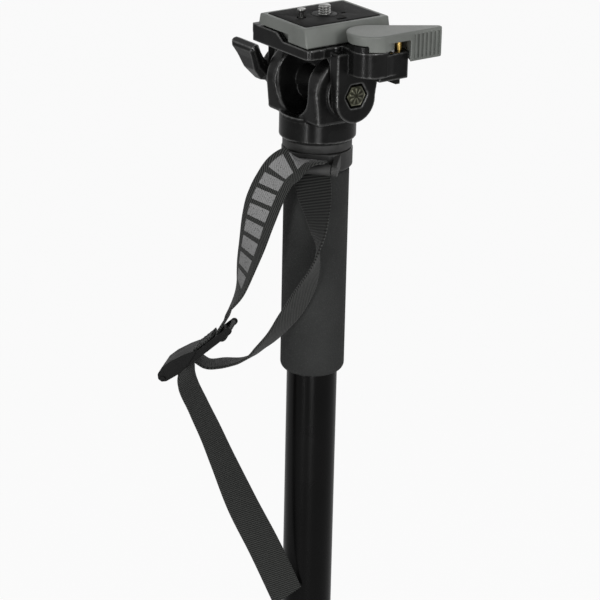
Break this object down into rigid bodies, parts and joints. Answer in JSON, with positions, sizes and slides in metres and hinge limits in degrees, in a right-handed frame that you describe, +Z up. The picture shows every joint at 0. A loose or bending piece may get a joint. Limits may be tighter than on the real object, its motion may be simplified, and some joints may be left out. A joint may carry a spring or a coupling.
{
  "type": "monopod",
  "caption": "Collapsed telescopic monopod with a tilting head, clamped camera plate, foam grip, flip leg locks, rubber foot and buckled wrist strap.",
  "frame": {"origin": "centre of the rubber foot's underside, on the axis of the pole", "axes": "+Z up the pole to the camera plate, +X along the tilt axis towards the bolt's hexagon head, +Y along the long side of the plate, away from the lock lever's wing"},
  "size_m": [0.0958, 0.1268, 0.7145],
  "materials": {
    "black_casting": "satin black coat",
    "grey_plate": "satin grey coat",
    "plate_pad": "matte",
    "bright_steel": "satin",
    "yellow_zinc": "satin",
    "brass": "polished",
    "black_plastic": "satin",
    "white_nylon": "satin",
    "grip_foam": "matte",
    "gloss_black_tube": "gloss black",
    "foot_rubber": "matte",
    "strap_webbing": "woven twill"
  },
  "bodies": {
    "pole": {"upper_tube": "gloss_black_tube", "pole_cap": "black_casting", "head_stud": "bright_steel", "strap_collar": "black_plastic", "strap_pin": "black_plastic", "foam_grip": "grip_foam", "upper_lock_collar": "black_casting", "upper_lock_bolt": "bright_steel", "upper_lock_nut": "bright_steel", "yoke": "black_casting", "thread_bush": "brass", "wrist_strap": "strap_webbing", "buckle_frame": "black_plastic", "buckle_cam": "black_plastic", "buckle_pin": "black_plastic"},
    "tilt_head": {"platform": "black_casting", "tilt_bolt": "yellow_zinc", "friction_washer_right": "white_nylon", "friction_washer_left": "white_nylon", "clamp_pivot_screw": "black_plastic", "trigger_spring": "bright_steel"},
    "tilt_lock": {"lock_lever": "black_casting", "lock_lever_insert": "brass", "lock_lever_cap": "black_plastic"},
    "plate_clamp": {"clamp_lever": "grey_plate"},
    "clamp_catch": {"safety_pin": "brass", "safety_tab": "black_plastic"},
    "trigger": {"trigger_pin": "black_plastic"},
    "plate": {"quick_release_plate": "grey_plate", "plate_pad": "plate_pad", "anti_twist_spring": "bright_steel", "anti_twist_plug": "black_plastic"},
    "screw": {"camera_screw": "bright_steel", "screw_retainer": "black_plastic", "screw_ring": "bright_steel"},
    "twist_pin": {"anti_twist_pin": "bright_steel"},
    "middle_section": {"middle_tube": "gloss_black_tube", "middle_guide": "white_nylon", "lower_lock_collar": "black_casting", "lower_lock_bolt": "bright_steel", "lower_lock_nut": "bright_steel"},
    "lower_section": {"lower_tube": "gloss_black_tube", "lower_guide": "white_nylon", "rubber_foot": "foot_rubber", "tube_plug": "black_plastic"},
    "upper_lock": {"upper_lock_lever": "black_plastic", "upper_lock_pin": "bright_steel"},
    "lower_lock": {"lower_lock_lever": "black_plastic", "lower_lock_pin": "bright_steel"}
  },
  "joints": [
    {"name": "head_tilt", "type": "hinge", "parent": "pole", "child": "tilt_head", "pos_m": [0, 0.0015, 0.6734], "axis": [1, 0, 0], "range_deg": [-90, 80]},
    {"name": "tilt_lock_turn", "type": "hinge", "parent": "tilt_head", "child": "tilt_lock", "pos_m": [-0.0346, 0.0015, 0.6734], "axis": [1, 0, 0], "range_deg": [-15, 60]},
    {"name": "clamp_turn", "type": "hinge", "parent": "tilt_head", "child": "plate_clamp", "pos_m": [0.0349, 0.0058, 0.703], "axis": [0, 0, 1], "range_deg": [-75, 0]},
    {"name": "catch_press", "type": "slide", "parent": "tilt_head", "child": "clamp_catch", "axis": [0, 0, -1], "range_m": [0, 0.003], "stiffness_N_per_m": 150, "springref_m": -0.004},
    {"name": "trigger_press", "type": "slide", "parent": "tilt_head", "child": "trigger", "axis": [0, 0, -1], "range_m": [0, 0.001], "stiffness_N_per_m": 120, "springref_m": -0.002, "deforming": ["trigger_spring"]},
    {"name": "plate_slide", "type": "slide", "parent": "tilt_head", "child": "plate", "axis": [0, 1, 0], "range_m": [0, 0.06]},
    {"name": "screw_turn", "type": "hinge", "parent": "plate", "child": "screw", "pos_m": [0.0005, 0.0023, 0.708], "axis": [0, 0, 1], "continuous": true},
    {"name": "twist_pin_press", "type": "slide", "parent": "plate", "child": "twist_pin", "axis": [0, 0, -1], "range_m": [0, 0.003], "stiffness_N_per_m": 150, "springref_m": -0.003, "deforming": ["anti_twist_spring"]},
    {"name": "middle_extend", "type": "slide", "parent": "pole", "child": "middle_section", "axis": [0, 0, -1], "range_m": [0, 0.47]},
    {"name": "lower_extend", "type": "slide", "parent": "middle_section", "child": "lower_section", "axis": [0, 0, -1], "range_m": [0, 0.5]},
    {"name": "upper_lock_turn", "type": "hinge", "parent": "pole", "child": "upper_lock", "pos_m": [0.02215, 0.0123, 0.098], "axis": [0, 0, 1], "range_deg": [-110, 0]},
    {"name": "lower_lock_turn", "type": "hinge", "parent": "middle_section", "child": "lower_lock", "pos_m": [0.01965, 0.0123, 0.056], "axis": [0, 0, 1], "range_deg": [-110, 0]}
  ]
}
